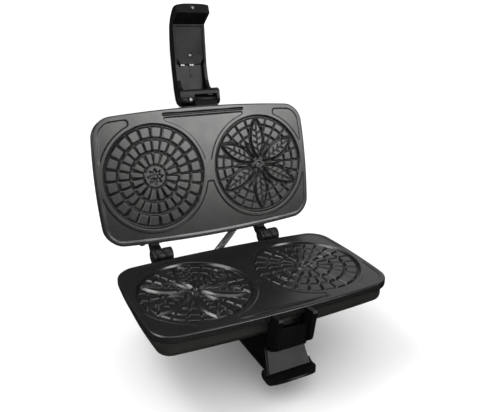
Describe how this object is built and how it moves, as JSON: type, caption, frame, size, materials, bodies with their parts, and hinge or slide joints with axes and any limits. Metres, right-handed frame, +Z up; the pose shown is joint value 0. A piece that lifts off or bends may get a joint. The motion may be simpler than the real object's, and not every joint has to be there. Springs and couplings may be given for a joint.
{
  "type": "waffle cone maker",
  "caption": "electric wafer iron with paired patterned grid plates, a lid on rear hinges, a swinging front latch arm and a flexible lead between the housings",
  "frame": {"origin": "middle of the box around the opened iron, at the height of the table under its feet", "axes": "+Z up, +Y to the hinges at the rear, +X along the hinge axis, to the right for a user at the front"},
  "size_m": [0.2774, 0.2928, 0.3693],
  "materials": {
    "grid_plate": "satin",
    "steel_casing": "brushed",
    "black_plastic": "satin",
    "grey_plastic": "satin",
    "hinge_casting": "satin",
    "steel_hardware": "polished",
    "heater_sheath": "satin",
    "reflector_sheet": "satin",
    "rubber": "matte",
    "spring_steel": "polished",
    "ceramic": "matte",
    "fuse_metal": "satin",
    "wire_sleeve": "matte",
    "amber_lens": "gloss",
    "green_lens": "gloss",
    "neon_glass": "gloss"
  },
  "bodies": {
    "base": {"lower_plate": "grid_plate", "lower_casing": "steel_casing", "base_underpan": "black_plastic", "lower_plate_screws": "steel_hardware", "lower_heater": "heater_sheath", "lower_heater_clamps": "steel_hardware", "lower_reflector": "reflector_sheet", "stand": "black_plastic", "stand_screws": "steel_hardware", "front_foot": "rubber", "rear_feet": "rubber", "base_handle": "black_plastic", "handle_panel": "grey_plastic", "handle_screws": "steel_hardware", "hinge_base_left": "hinge_casting", "hinge_base_right": "hinge_casting", "hinge_pin_left": "steel_hardware", "hinge_pin_right": "steel_hardware", "hinge_base_screws": "steel_hardware", "thermostat": "ceramic", "thermal_fuse": "fuse_metal", "terminal_block": "black_plastic", "cord_gland": "black_plastic", "conduit_ferrule_base": "spring_steel", "lower_wires": "wire_sleeve", "conduit_spring": "spring_steel"},
    "lid": {"upper_plate": "grid_plate", "lid_cover": "steel_casing", "upper_plate_screws": "steel_hardware", "upper_heater": "heater_sheath", "upper_heater_clamps": "steel_hardware", "upper_reflector": "reflector_sheet", "power_lamp_lens": "amber_lens", "ready_lamp_lens": "green_lens", "lamp_holder": "black_plastic", "neon_lamps": "neon_glass", "hinge_lid_left": "hinge_casting", "hinge_lid_right": "hinge_casting", "hinge_lid_screws": "steel_hardware", "conduit_ferrule_lid": "spring_steel", "latch_bracket": "black_plastic", "bracket_screws": "steel_hardware", "upper_thermal_fuse": "fuse_metal", "upper_wires": "wire_sleeve"},
    "latch": {"latch_shell": "black_plastic", "latch_inner_plate": "grey_plastic", "latch_tabs": "steel_hardware", "latch_screws": "steel_hardware", "latch_pin": "steel_hardware", "latch_lower_cover": "black_plastic"}
  },
  "joints": [
    {"name": "lid_hinge", "type": "hinge", "parent": "base", "child": "lid", "pos_m": [0, 0.04455, 0.09046], "axis": [1, 0, 0], "range_deg": [0, 104.5], "deforming": ["conduit_spring"]},
    {"name": "latch_pivot", "type": "hinge", "parent": "lid", "child": "latch", "pos_m": [0, 0.11249, 0.25829], "axis": [1, 0, 0], "range_deg": [0, 80]}
  ]
}
